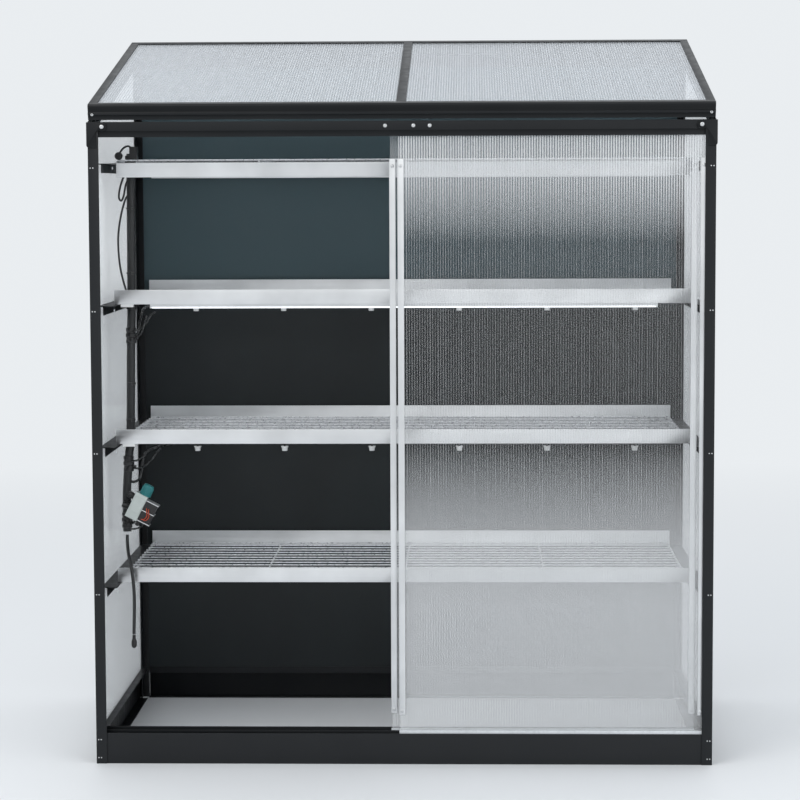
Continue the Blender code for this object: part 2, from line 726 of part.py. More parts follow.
def build_valve(teal):
    pieces = [solid_block(VALVE_BODY), solid_block(VALVE_BATTERY)]
    for x, z0, z1, radius in (VALVE_CAP, VALVE_SPOUT):
        pieces.append(drum(x * MM, 0, z0 * MM, z1 * MM, radius * MM, 12))
    x0, x1, z, radius = VALVE_INLET
    pieces.append(prism(arc(0, z * MM, radius * MM, 0, 324, 9), x0 * MM, x1 * MM, along_x))
    valve = joined("drip_valve", pieces, teal)
    valve.location = Vector(VALVE_PLACE) * MM
    valve.rotation_euler = (0, math.radians(VALVE_LEAN), 0)


def build_mist_lines(white):
    for number, drop in MIST_BELOW_SHELF.items():
        z = RAIL_CENTRES[number - 1] + RAIL_HEIGHT / 2 - drop
        lift = Vector((0, 0, z - MIST_START_DROP))
        route = [p + lift for p in smooth(in_metres(MIST_BEND), 2)]
        last = NOZZLE_FIRST + NOZZLE_PITCH * (NOZZLES - 1) + MIST_TAIL
        route.append(Vector((last, MIST_Y, z)))
        pieces = [tube(route, MIST_RADIUS, 8)]
        for k in range(NOZZLES):
            x = NOZZLE_FIRST + NOZZLE_PITCH * k
            pieces.append(drum(x, MIST_Y, z - NOZZLE_DROP, z, NOZZLE_RADIUS, 12))
        joined(f"mist_line_{number}", pieces, white)


def build_light(white):
    top = RAIL_CENTRES[1] + RAIL_HEIGHT / 2
    y = SHELF_FRONT + BAR_FLANGE - LIGHT_WIDTH
    lamp = box(LIGHT_LEFT, LIGHT_RIGHT, y, y + LIGHT_WIDTH, top - LIGHT_HEIGHT, top)
    node("light_strip", lamp, white)


def main():
    for old in list(bpy.data.objects):
        bpy.data.objects.remove(old)
    black = (BLACK, 0.0, 0.38)
    silver = (SILVER, 1.0, 0.34)
    steel = (SILVER, 1.0, 0.30)
    clear = (CLEAR, 0.0, 0.25)
    milk = (MILK, 0.0, 0.35)
    charcoal = (CHARCOAL, 0.0, 0.40)
    rubber = (RUBBER, 0.0, 0.55)
    white = (WHITE, 0.0, 0.35)
    teal = (TEAL, 0.0, 0.40)
    build_posts(black)
    build_base(black)
    build_tracks(black)
    build_top_rails(black)
    build_brackets(black)
    build_panels(clear, charcoal)
    build_shelves(black, silver, steel)
    build_lid(black, clear)
    build_door("front_door", FRONT_DOOR_X, FRONT_DOOR_Y, clear, silver, milk)
    build_door("rear_door", REAR_DOOR_X, REAR_DOOR_Y, clear, silver, milk)
    build_riser(rubber)
    build_feed_hose(rubber)
    build_valve(teal)
    build_mist_lines(white)
    build_light(white)


main()
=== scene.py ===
"""Looks of the cold frame: finishes, ribbed sheets, shelf wires, watering line, light and screws.

Metres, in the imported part's own frame: +Z up, the doors face -Y.
"""
import json
import math

import bmesh
import bpy
from mathutils import Matrix, Vector


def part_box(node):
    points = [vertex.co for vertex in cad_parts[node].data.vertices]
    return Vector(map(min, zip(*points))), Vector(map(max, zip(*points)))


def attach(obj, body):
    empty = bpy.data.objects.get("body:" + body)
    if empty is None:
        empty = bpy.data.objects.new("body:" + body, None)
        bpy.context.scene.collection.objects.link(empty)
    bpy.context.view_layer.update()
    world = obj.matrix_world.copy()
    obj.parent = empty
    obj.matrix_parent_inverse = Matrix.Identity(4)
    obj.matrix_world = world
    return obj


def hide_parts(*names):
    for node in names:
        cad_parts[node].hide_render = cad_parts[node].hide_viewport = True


MM = 0.001

# Camera, from the photograph's viewpoint
CAMERA_PLACE = (0.1407, -5.4598, 1.2251)
CAMERA_TURN = 0.0283
CAMERA_TILT = 0.0869
CAMERA_ROLL = 0.0039
CAMERA_LENS = 109.75

# Softened metal edges
EDGE = 0.5 * MM
WELD = 0.01 * MM
FLAT_ANGLE = math.radians(0.5)
SHARP_ANGLE = math.radians(30)

# Twin-wall sheet
RIB_PITCH = 5.5 * MM
RIB = 0.7 * MM
SKIN = 0.45 * MM

# Pale lines along the ribs: how soft their sides are and how much their widths differ, as shares, and
# the noise behind that, in cells for each rib across them and as a stretch along them
LINE_EDGE = 0.12
LINE_SPREAD = 0.35
LINE_GRAIN = 0.8
ALONG_RIB = 0.001

# Looks of each ribbed sheet: haze, share of the pitch under its pale lines, their strength, then
# bands by height as (height where it starts, height where it is full, added haze, added share, added strength)
# The bands are painted: the doors' paler lower band is a painted reflection of the pale floor, their top band is
# part condensation and part painted light through the lid, and the sides' clearer top is painted light from above
FRONT_DOOR_LOOK = (0.003, 0.15, 0.24, [(0.68, 0.34, 0.120, 0.0, 0.0), (1.11, 1.27, 0.040, 0.20, 0.50)])
REAR_DOOR_LOOK = (0.003, 0.06, 0.04, [(0.68, 0.34, 0.120, 0.0, 0.0), (1.11, 1.27, 0.060, 0.10, 0.10)])
SIDE_LOOK = (0.15, 0.34, 0.20, [(0.95, 1.03, -0.13, 0.0, -0.15)])
LID_LOOK = (0.18, 0.34, 0.11, [])
DOOR_TINT = (0.86, 0.875, 0.89)
SIDE_TINT = (0.88, 0.90, 0.91)
LID_TINT = (0.80, 0.84, 0.89)

# Opacity and colour of the ribs
DOOR_RIB = (0.05, (0.92, 0.93, 0.94))
SIDE_RIB = (0.5, (0.92, 0.93, 0.94))
LID_RIB = (0.45, (0.90, 0.92, 0.94))

# Charcoal sheet: its two tones, and the painted light on the top of its inner face, standing for light through the
# lid, with the heights where it starts and is full
CHARCOAL = [(0.007, 0.009, 0.010), (0.013, 0.018, 0.020)]
CHARCOAL_PAINTED_LIGHT = (0.052, 0.084, 0.096)
PAINTED_LIGHT_START = 0.93
PAINTED_LIGHT_FULL = 1.02

# Powder coat: its two tones and its rubbed edges
COAT = [(0.004, 0.005, 0.006), (0.007, 0.008, 0.009)]
COAT_RUBBED = (0.06, 0.063, 0.068)

# Shelf wires
WIRE_RADIUS = 1.7 * MM
CROSS_RADIUS = 2.0 * MM
LONG_WIRES = 14
CROSS_WIRES = 5
SHELF_INSET = 45 * MM
WELD_SINK = 0.4 * MM

# Watering, in millimetres: the riser's line as (x, z), and hoses as (x, y, z)
RISER_Y = -183
RISER_RADIUS = 9.2
RISER_ROUTE = [(-589, 1300), (-591, 984), (-593, 905), (-597, 690), (-601, 645), (-607, 560),
               (-607, 478)]
COUPLINGS = [(-590, 1262), (-591, 964), (-593, 890), (-602, 610), (-607, 486)]
BARBED_BELOW = 1000
BARB_ANGLES = [-70, 20]
BARB_RISE = 10
TIES = [(-590, 1180), (-591, 1040), (-594, 800), (-596, 720), (-606, 540)]
TIE_TAIL = [(-3, -14, -1), (3, -8, 5.5)]
SIDE_BLOCK = [(-590, -574), (-196, -172), (1288, 1315)]
KNOB = (-613, -196, 1295)
HOSE_LOOPS = [
    [(-584, -184, 1308), (-592, -186, 1316), (-602, -191, 1313), (-610, -195, 1303), (-613, -196, 1296)],
    [(-592, -188, 1262), (-603, -194, 1250), (-611, -199, 1225), (-613, -200, 1206), (-608, -199, 1199),
     (-603, -197, 1210), (-599, -194, 1232), (-594, -188, 1246)],
    [(-592, -188, 1214), (-601, -192, 1200), (-611, -197, 1160), (-616, -200, 1114), (-613, -199, 1060),
     (-604, -194, 1015), (-596, -188, 990)],
]
THIN_HOSES = [
    [(-586, -192, 917), (-572, -204, 922), (-556, -208, 936), (-546, -200, 952), (-540, -180, 958)],
    [(-586, -192, 900), (-577, -206, 903), (-566, -212, 915), (-560, -208, 935), (-558, -190, 950)],
    [(-594, -192, 634), (-581, -203, 636), (-567, -208, 645), (-556, -204, 656), (-548, -186, 660)],
    [(-592, -192, 618), (-574, -206, 620), (-552, -212, 634), (-538, -206, 652), (-531, -186, 660)],
    [(-600, -192, 496), (-590, -200, 500), (-582, -206, 510), (-577, -210, 520)],
    [(-600, -192, 484), (-586, -203, 486), (-572, -210, 492), (-566, -213, 503)],
]
LOOP_RADIUS = 2.2
THIN_RADIUS = 2.0
ROUTE_STEPS = 6
THIN_STEPS = 8
FEED_ROUTE = [
    (-607, -183, 470), (-607, -186, 457), (-605, -195, 446), (-602, -210, 437), (-598, -228, 430),
    (-593, -245, 420), (-588, -257, 402), (-585, -261, 380), (-583, -261, 352), (-583, -260, 322),
    (-584, -259, 293), (-585, -258, 264),
]
FEED_STEPS = 4
FEED_DIAMETER = 7
MIST_START_DROP = 48
MIST_BEND = [(-576, -184, 0), (-574, -176, 14), (-573, -158, 34), (-571, -128, 46), (-566, -88, 48),
             (-560, -46, 48), (-553, -4, 48), (-540, 30, 48), (-522, 43, 48), (-505, 45, 48)]
MIST_TAKE_OFF = [(-598, -184, -12), (-589, -184, -12), (-580, -184, -7)]
MIST_RADIUS = 3
NOZZLES = 6
NOZZLE_FIRST = -476
NOZZLE_PITCH = 198.4

# Turned shapes, in millimetres: (radius, height) from the bottom up
COLLAR = [
    (9.6, 0), (11.4, 0.6), (11.4, 7), (10.2, 8.2), (10.2, 13), (12.0, 14), (12.0, 21), (10.2, 22),
    (10.2, 26), (11.4, 27), (11.4, 33.4), (9.6, 34),
]
BARB = [(3.6, 8), (3.6, 13), (2.8, 13.4), (2.8, 16)]
TIE = [(9.0, 0), (10.4, 0.3), (10.4, 4.2), (9.0, 4.5)]
KNOB_WHEEL = [(7.4, -4), (8.5, -3), (8.5, 3), (7.4, 4)]
DRIPPER = [(1.2, 0), (3.4, 1), (5.6, 4), (6.0, 8), (6.0, 14), (5.2, 18), (3.5, 20), (3.5, 29)]
NOZZLE_STEM = [(2.4, -9), (2.4, -4), (4.2, -3.5), (4.2, 3.2), (3.0, 3.6)]
NOZZLE_CUP = [
    (5.2, -17), (6.0, -16.6), (6.4, -11), (8.4, -7), (8.4, -6.2), (7.4, -6.2), (5.6, -9.5), (2.0, -9.5),
]
VALVE_CAP = [(10.4, 22), (13.0, 22.4), (13.0, 26), (12.0, 27), (12.0, 42), (10.6, 45.5), (7, 46.5)]
VALVE_RIDGE = [(0.7, 27), (0.8, 28), (0.8, 40), (0.4, 41.5)]
VALVE_SPOUT = [(3.4, -46), (4.6, -45), (4.6, -40), (6.2, -39), (6.2, -33), (5, -32)]
VALVE_UNION = [(6.4, -3), (6.4, 5), (7.6, 6), (7.6, 14), (6.2, 15), (6.2, 17)]

# Drip valve, in millimetres, upright about its own centre before it leans
VALVE_PLACE = (-571, -212, 540)
VALVE_LEAN = 27
VALVE_BODY = [((-22, -12, -36), (6, 12, 22)), ((-19, -13, -20), (3, -12, 14))]
VALVE_CASE = ((6.4, -13, -31), (34, 13, 14))
VALVE_TRIMS = [((6.2, -14, z), (36, 14, z + 1.6)) for z in (-33, -9, 14)]
VALVE_CAP_X = -3
VALVE_RIDGES = 16
VALVE_RIDGE_OUT = 12
VALVE_SPOUT_X = 10
VALVE_UNIONS = {"upper": (-21, 4, 8), "lower": (-21, 4, -18)}
VALVE_WIRES = [
    [(14, -13, 0), (17, -17, -5), (22, -17, -14), (20, -17, -23), (14, -13, -27)],
    [(19, -13, 0), (22, -19, -5), (27, -19, -14), (25, -19, -23), (19, -13, -27)],
]
WIRE_INSULATION = 1.1

# Light strip, in millimetres
LAMP_PITCH = 16
LIGHT_CAP_LENGTH = 4
LIGHT_CAP_DEPTH = 11
LIGHT_CAP_HEIGHT = 4
CHANNEL_STEP_IN = 1
CHANNEL_BOTTOM = 3
DIFFUSER_INSET = 4.3
DIFFUSER_BACK = 1
DIFFUSER_HEIGHT = 2.8

# Screws and pads, in millimetres
HEADER_SCREWS_X = [-33, 26, 60]
HEADER_SCREW_Z = 1354
EAR_X = 626
POST_SCREWS_X = [651, 645.6]
POST_SCREWS_Z = [1268, 967, 666, 365, 52, 13]
POST_SCREW_Y = 322
RAIL_BOLTS_Y = [-302, 60]
RAIL_BOLT_DROP = 10
LID_SCREW_X = 645
LID_SCREW_Z = 1379
LID_SCREW_IN = 2.6
DOOR_SCREW_DROP = 15
DOOR_SCREW_RISE = 8
PAD_LEFT = -606
PAD_RIGHT = -579
PAD_HEIGHT = 6
PAD_DEPTH = 14

# Screw radii, in millimetres
HEADER_SCREW = 4.2
EAR_SCREW = 4.6
POST_SCREW_FRONT = 1.4
POST_SCREW_SIDE = 2.8
POST_SCREW_REAR = 1.7
RAIL_BOLT = 3.4
LID_SCREW = 3.2
DOOR_SCREW = 3.6

# A screw's head, as shares: height of the radius, then (share of radius, share of height) outside in
HEAD_HEIGHT = 0.5
HEAD_PROFILE = [(1, 0), (1, 0.25), (0.86, 0.68), (0.6, 0.95), (0.42, 1), (0.3948, 0.4)]

# Plastics and rubbers: colour and roughness
PLASTICS = {
    "black_rubber": ((0.016, 0.017, 0.018), 0.5),
    "black_fitting": ((0.012, 0.012, 0.013), 0.36),
    "glossy_hose": ((0.02, 0.021, 0.022), 0.26),
    "red_wire": ((0.45, 0.06, 0.02), 0.4),
    "white_plastic": ((0.82, 0.83, 0.83), 0.34),
    "pale_plastic": ((0.55, 0.60, 0.58), 0.36),
    "teal_plastic": ((0.012, 0.17, 0.18), 0.34),
    "edging_plastic": ((0.70, 0.73, 0.76), 0.28),
}
FLECK = 0.12

# Metals
MILL_ALUMINIUM = (0.80, 0.81, 0.82)
SCREW_STEEL = (0.70, 0.71, 0.72)
ZINC = [(0.55, 0.56, 0.58), (0.82, 0.83, 0.85)]

# Pale surroundings, with the floor fading into them between two distances
BACKDROP = (0.82, 0.85, 0.875)
BACKDROP_STRENGTH = 1.0
FLOOR_COLOR = (0.74, 0.755, 0.775)
FLOOR_RADIUS = 60.0
FADE_START = 1.6
FADE_END = 5.5

# Lamps: name, place, aim, side, power and colour
LAMPS = [
    ("key", (-2.2, -3.2, 3.6), (0, 0, 0.8), 2.4, 60, (1.0, 0.985, 0.96)),
    ("fill", (2.6, -3.0, 2.4), (0, 0, 0.8), 2.4, 25, (0.95, 0.98, 1.0)),
    ("top", (0.0, 0.4, 4.2), (0, 0, 1.0), 3.0, 40, (1.0, 1.0, 1.0)),
]

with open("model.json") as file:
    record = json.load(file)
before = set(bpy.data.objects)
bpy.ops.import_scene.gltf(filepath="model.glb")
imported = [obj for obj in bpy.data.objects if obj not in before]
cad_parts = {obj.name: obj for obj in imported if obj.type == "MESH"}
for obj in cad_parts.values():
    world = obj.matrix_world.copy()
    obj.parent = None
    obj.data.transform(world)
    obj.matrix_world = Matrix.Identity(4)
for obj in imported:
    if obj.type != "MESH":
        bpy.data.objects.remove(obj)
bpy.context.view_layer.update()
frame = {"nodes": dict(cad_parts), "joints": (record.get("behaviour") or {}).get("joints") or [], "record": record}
home = {}
for body_name, members in frame["record"]["behaviour"]["bodies"].items():
    for member in members:
        home[member] = body_name
slot_of = {row["node"]: row["material_slot"] for row in frame["record"]["subparts"]}


# ---------------------------------------------------------------- materials

def start_material(name, color, metallic, roughness):
    """A Principled material, returned with its node tree and shader."""
    mat = bpy.data.materials.new(name)
    mat.use_nodes = True
    tree = mat.node_tree
    shader = tree.nodes["Principled BSDF"]
    shader.inputs["Base Color"].default_value = (*color, 1.0)
    shader.inputs["Metallic"].default_value = metallic
    shader.inputs["Roughness"].default_value = roughness
    return mat, tree, shader


def noise(tree, scale, stretch=(1, 1, 1), detail=3.0):
    """Noise over the object's own coordinates, from 0 to 1."""
    place = tree.nodes.new("ShaderNodeTexCoord")
    mapping = tree.nodes.new("ShaderNodeMapping")
    mapping.inputs["Scale"].default_value = stretch
    texture = tree.nodes.new("ShaderNodeTexNoise")
    texture.inputs["Scale"].default_value = scale
    texture.inputs["Detail"].default_value = detail
    tree.links.new(place.outputs["Object"], mapping.inputs["Vector"])
    tree.links.new(mapping.outputs["Vector"], texture.inputs["Vector"])
    return texture.outputs["Fac"]


def spread(tree, value, low, high, start=0.3, end=0.7):
    """The value moved from start..end to low..high."""
    scale = tree.nodes.new("ShaderNodeMapRange")
    scale.inputs["From Min"].default_value = start
    scale.inputs["From Max"].default_value = end
    scale.inputs["To Min"].default_value = low
    scale.inputs["To Max"].default_value = high
    tree.links.new(value, scale.inputs["Value"])
    return scale.outputs["Result"]


def sums(tree, operation, first, second):
    """One step of arithmetic on sockets or numbers."""
    step = tree.nodes.new("ShaderNodeMath")
    step.operation = operation
    for socket, value in zip(step.inputs, (first, second)):
        if isinstance(value, (int, float)):
            socket.default_value = value
        else:
            tree.links.new(value, socket)
    return step.outputs["Value"]


def blend_colors(tree, share, first, second):
    """A colour between two, by a socket from 0 to 1; a colour may be a socket too."""
    mix = tree.nodes.new("ShaderNodeMix")
    mix.data_type = "RGBA"
    tree.links.new(share, mix.inputs["Factor"])
    for socket, value in ((mix.inputs["A"], first), (mix.inputs["B"], second)):
        if isinstance(value, tuple):
            socket.default_value = (*value, 1.0)
        else:
            tree.links.new(value, socket)
    return mix.outputs["Result"]


def raise_surface(tree, shader, height, distance):
    """Bump from a height socket."""
    bump = tree.nodes.new("ShaderNodeBump")
    bump.inputs["Strength"].default_value = 1.0
    bump.inputs["Distance"].default_value = distance
    tree.links.new(height, bump.inputs["Height"])
    tree.links.new(bump.outputs["Normal"], shader.inputs["Normal"])


def powder_coat():
    """Satin black powder coat with a fine orange peel, dust and rubbed edges."""
    mat, tree, shader = start_material("powder_coat", (0.010, 0.011, 0.013), 0.0, 0.4)
    shader.inputs["Specular IOR Level"].default_value = 0.17
    clouds = spread(tree, noise(tree, 6.0), 0, 1)
    body = blend_colors(tree, clouds, *COAT)
    geometry = tree.nodes.new("ShaderNodeNewGeometry")
    rubbed = spread(tree, geometry.outputs["Pointiness"], 0, 0.35, 0.53, 0.60)
    color = blend_colors(tree, rubbed, body, COAT_RUBBED)
    tree.links.new(color, shader.inputs["Base Color"])
    gloss = spread(tree, noise(tree, 40.0), 0.34, 0.46)
    tree.links.new(gloss, shader.inputs["Roughness"])
    raise_surface(tree, shader, noise(tree, 1300.0, detail=1.0), 0.05 * MM)
    return mat


def aluminium(name, grain, color=MILL_ALUMINIUM):
    """Mill-finish aluminium with extrusion lines; grain is the stretch across them."""
    mat, tree, shader = start_material(name, color, 1.0, 0.34)
    lines = noise(tree, 500.0, grain, 2.0)
    clouds = noise(tree, 9.0)
    darker = tuple(0.82 * c for c in color)
    tree.links.new(blend_colors(tree, spread(tree, clouds, 0, 1), darker, color),
                   shader.inputs["Base Color"])
    tree.links.new(spread(tree, lines, 0.28, 0.46), shader.inputs["Roughness"])
    raise_surface(tree, shader, lines, 0.03 * MM)
    return mat


def zinc():
    """Bright zinc on the shelf wires."""
    mat, tree, shader = start_material("zinc", (0.74, 0.75, 0.77), 1.0, 0.3)
    spots = noise(tree, 160.0)
    color = blend_colors(tree, spread(tree, spots, 0, 1), *ZINC)
    tree.links.new(color, shader.inputs["Base Color"])
    tree.links.new(spread(tree, spots, 0.24, 0.42), shader.inputs["Roughness"])
    raise_surface(tree, shader, noise(tree, 900.0), 0.03 * MM)
    return mat


def coordinate(tree, axis):
    """The X, Y or Z of the point being shaded, with the piece at rest."""
    place = tree.nodes.new("ShaderNodeTexCoord")
    parts = tree.nodes.new("ShaderNodeSeparateXYZ")
    tree.links.new(place.outputs["Object"], parts.inputs["Vector"])
    return parts.outputs[axis]


def stripes(tree, axis, origin, pitch):
    """The distance to the nearest rib along one axis, 0 on a rib and 0.5 midway to the next."""
    steps = sums(tree, "DIVIDE", sums(tree, "SUBTRACT", coordinate(tree, axis), origin), pitch)
    return sums(tree, "PINGPONG", steps, 0.5)


def sheet_skin(name, axis, origin, pitch, look, tint):
    """Thin polycarbonate skin: hazy, with a pale line along each rib, both changing with height in bands of
    painted light and painted reflection, the doors' top band partly condensation.
    """
    haze, share, strength, height_bands = look
    mat, tree, shader = start_material(name, tint, 0.0, 0.2)
    grain = [ALONG_RIB] * 3
    grain["XYZ".index(axis)] = 1.0
    streaks = noise(tree, LINE_GRAIN / pitch, tuple(grain), 1.0)
    uneven = spread(tree, streaks, -LINE_SPREAD * share, LINE_SPREAD * share)
    width = sums(tree, "ADD", uneven, share)
    height = coordinate(tree, "Z")
    # Height bands: painted reflection of the floor and painted light from above, the doors' top band partly
    # condensation
    for start, full, added_haze, added_share, added_strength in height_bands:
        haze = sums(tree, "ADD", spread(tree, height, 0.0, added_haze, start, full), haze)
        width = sums(tree, "ADD", spread(tree, height, 0.0, added_share, start, full), width)
        strength = sums(tree, "ADD", spread(tree, height, 0.0, added_strength, start, full), strength)
    from_rib = sums(tree, "MULTIPLY", stripes(tree, axis, origin, pitch), 2.0)
    line = spread(tree, sums(tree, "SUBTRACT", width, from_rib), 0.0, 1.0, -LINE_EDGE, LINE_EDGE)
    pale = sums(tree, "MULTIPLY", line, strength)
    tree.links.new(sums(tree, "ADD", pale, haze), shader.inputs["Alpha"])
    return mat


def sheet_rib(name, alpha, tint):
    """The ribs between the two skins, seen edge on as pale lines."""
    mat, tree, shader = start_material(name, tint, 0.0, 0.2)
    shader.inputs["Alpha"].default_value = alpha
    tree.links.new(spread(tree, noise(tree, 60.0), 0.14, 0.3), shader.inputs["Roughness"])
    return mat


def charcoal(inner_y, outer_y):
    """Charcoal ribbed sheet at the back, with painted light making the top of its inner face paler, in place of
    light through the lid.
    """
    mat, tree, shader = start_material("charcoal", (0.012, 0.018, 0.021), 0.0, 0.36)
    shader.inputs["Specular IOR Level"].default_value = 0.3
    clouds = spread(tree, noise(tree, 3.0, (1, 1, 0.4)), 0, 1)
    body = blend_colors(tree, clouds, *CHARCOAL)
    # Painted light: paler towards the top of the inner face only, standing for light through the lid
    high_up = spread(tree, coordinate(tree, "Z"), 0, 1, PAINTED_LIGHT_START, PAINTED_LIGHT_FULL)
    inside = spread(tree, coordinate(tree, "Y"), 1, 0, inner_y, outer_y)
    painted_light_share = sums(tree, "MULTIPLY", high_up, inside)
    tree.links.new(blend_colors(tree, painted_light_share, body, CHARCOAL_PAINTED_LIGHT), shader.inputs["Base Color"])
    tree.links.new(spread(tree, noise(tree, 25.0), 0.3, 0.46), shader.inputs["Roughness"])
    return mat


def plastic(name, color, roughness):
    """Moulded plastic with a faint grain and tone."""
    mat, tree, shader = start_material(name, color, 0.0, roughness)
    tone = spread(tree, noise(tree, 35.0), 0, 1)
    darker = tuple(c * (1 - FLECK) for c in color)
    tree.links.new(blend_colors(tree, tone, darker, color), shader.inputs["Base Color"])
    tree.links.new(spread(tree, noise(tree, 120.0), roughness - 0.06, roughness + 0.08),
                   shader.inputs["Roughness"])
    raise_surface(tree, shader, noise(tree, 1500.0, detail=1.0), 0.02 * MM)
    return mat


def painted_glow():
    """The light strip's diffuser with a painted glow for its bright line, with its row of lamps just showing."""
    mat, tree, shader = start_material("painted_glow_diffuser", (0.9, 0.92, 0.95), 0.0, 0.4)
    shader.inputs["Emission Color"].default_value = (0.93, 0.97, 1.0, 1.0)
    lamps = stripes(tree, "X", 0.0, LAMP_PITCH * MM)
    # Painted glow: the emission paints the strip's bright line and is not a lamp lighting the bay
    tree.links.new(spread(tree, lamps, 1.0, 0.75, 0, 0.5), shader.inputs["Emission Strength"])
    return mat


# ---------------------------------------------------------------- mesh tools

def piece(name, bm, finishes, body, stands_for=(), smooth=True, sharp=SHARP_ANGLE):
    """A named piece from a bmesh, riding on a body and standing for CAD nodes."""
    bmesh.ops.recalc_face_normals(bm, faces=bm.faces)
    mesh = bpy.data.meshes.new(name)
    bm.to_mesh(mesh)
    bm.free()
    for finish in finishes:
        mesh.materials.append(finish)
    if smooth:
        mesh.shade_smooth()
        mesh.set_sharp_from_angle(angle=sharp)
    item = bpy.data.objects.new(name, mesh)
    bpy.context.scene.collection.objects.link(item)
    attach(item, body)
    if stands_for:
        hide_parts(*stands_for)
    return item


def soften(item, width=EDGE):
    """Round the sharp edges a little, with the faces kept flat."""
    bevel = item.modifiers.new("soft_edges", "BEVEL")
    bevel.width = width
    bevel.segments = 2
    bevel.limit_method = "ANGLE"
    bevel.angle_limit = SHARP_ANGLE
    bevel.harden_normals = True
    item.data.shade_smooth()


def edged_copy(node_name, finish, width=EDGE):
    """The CAD node's shape with softened edges, shown in its place."""
    body = home[node_name]
    bm = bmesh.new()
    bm.from_mesh(frame["nodes"][node_name].data)
    bmesh.ops.remove_doubles(bm, verts=bm.verts, dist=WELD)
    bmesh.ops.dissolve_limit(bm, angle_limit=FLAT_ANGLE, verts=bm.verts, edges=bm.edges)
    item = piece(f"{node_name}_finish", bm, [finish], body, (node_name,), smooth=False)
    soften(item, width)


def ring_around(bm, centre, side, up, radius, segments):
    """A ring of points in the plane of two directions."""
    points = []
    for i in range(segments):
        turn = 2 * math.pi * i / segments
        offset = side * (radius * math.cos(turn)) + up * (radius * math.sin(turn))
        points.append(bm.verts.new(centre + offset))
    return points


def bridge(bm, near, far):
    """Quads between two rings."""
    count = len(near)
    for i in range(count):
        j = (i + 1) % count
        bm.faces.new([near[i], near[j], far[j], far[i]])


def sweep(bm, points, radius, segments=10):
    """A round hose along points, closed at both ends, without twist."""
    points = [Vector(p) for p in points]
    rings = []
    side = None
    for index, point in enumerate(points):
        before = points[max(index - 1, 0)]
        after = points[min(index + 1, len(points) - 1)]
        along = (after - before).normalized()
        if side is None:
            side = along.orthogonal().normalized()
        side = (side - along * side.dot(along)).normalized()
        rings.append(ring_around(bm, point, side, along.cross(side), radius, segments))
    bm.faces.new(list(reversed(rings[0])))
    bm.faces.new(rings[-1])
    for near, far in zip(rings[:-1], rings[1:]):
        bridge(bm, near, far)


def smooth_route(points, steps):
    """Points on a smooth curve through a route's points."""
    points = [Vector(p) for p in points]
    ends = [points[0] * 2 - points[1]] + points + [points[-1] * 2 - points[-2]]
    route = []
    for k in range(1, len(ends) - 2):
        a, b, c, d = ends[k - 1:k + 3]
        for i in range(steps):
            t = i / steps
            route.append(0.5 * (2 * b + (c - a) * t + (2 * a - 5 * b + 4 * c - d) * t * t
                                + (3 * b - 3 * c + d - a) * t ** 3))
    route.append(points[-1])
    return route


def lathe(bm, profile, place, segments=24, material=0):
    """A turned shape: profile is (radius, height) in millimetres, placed by a matrix."""
    side = Vector((1, 0, 0))
    up = Vector((0, 1, 0))
    rings = []
    for radius, height in profile:
        centre = Vector((0, 0, height * MM))
        rings.append(ring_around(bm, centre, side, up, max(radius * MM, WELD), segments))
    faces = [bm.faces.new(list(reversed(rings[0]))), bm.faces.new(rings[-1])]
    before = len(bm.faces)
    for near, far in zip(rings[:-1], rings[1:]):
        bridge(bm, near, far)
    bm.faces.ensure_lookup_table()
    faces += [bm.faces[i] for i in range(before, len(bm.faces))]
    for face in faces:
        face.material_index = material
    for ring in rings:
        for vertex in ring:
            vertex.co = place @ vertex.co


def block(bm, low, high, place=Matrix.Identity(4), material=0):
    """A rectangular block between two corners."""
    made = bmesh.ops.create_cube(bm, size=1.0)["verts"]
    centre = [(a + b) / 2 for a, b in zip(low, high)]
    extent = [b - a for a, b in zip(low, high)]
    for vertex in made:
        vertex.co = place @ Vector([c + v * e for c, v, e in zip(centre, vertex.co, extent)])
    for face in {f for v in made for f in v.link_faces}:
        face.material_index = material


def facing(point, direction):
    """A matrix that carries +Z to a direction, at a point."""
    turn = Vector(direction).to_track_quat("Z", "Y").to_matrix().to_4x4()
    return Matrix.Translation(point) @ turn


# ---------------------------------------------------------------- frame metal

def dress_metal(black, along_x, along_z):
    """Softened copies of the frame rails, bars and handles."""
    for name in frame["nodes"]:
        finish = None
        if slot_of[name] == "black_frame":
            finish = black
        elif name.startswith("shelf_bar"):
            finish = along_x
        elif "handle" in name:
            finish = along_z
        if finish:
            edged_copy(name, finish)


# ---------------------------------------------------------------- twin-wall sheets

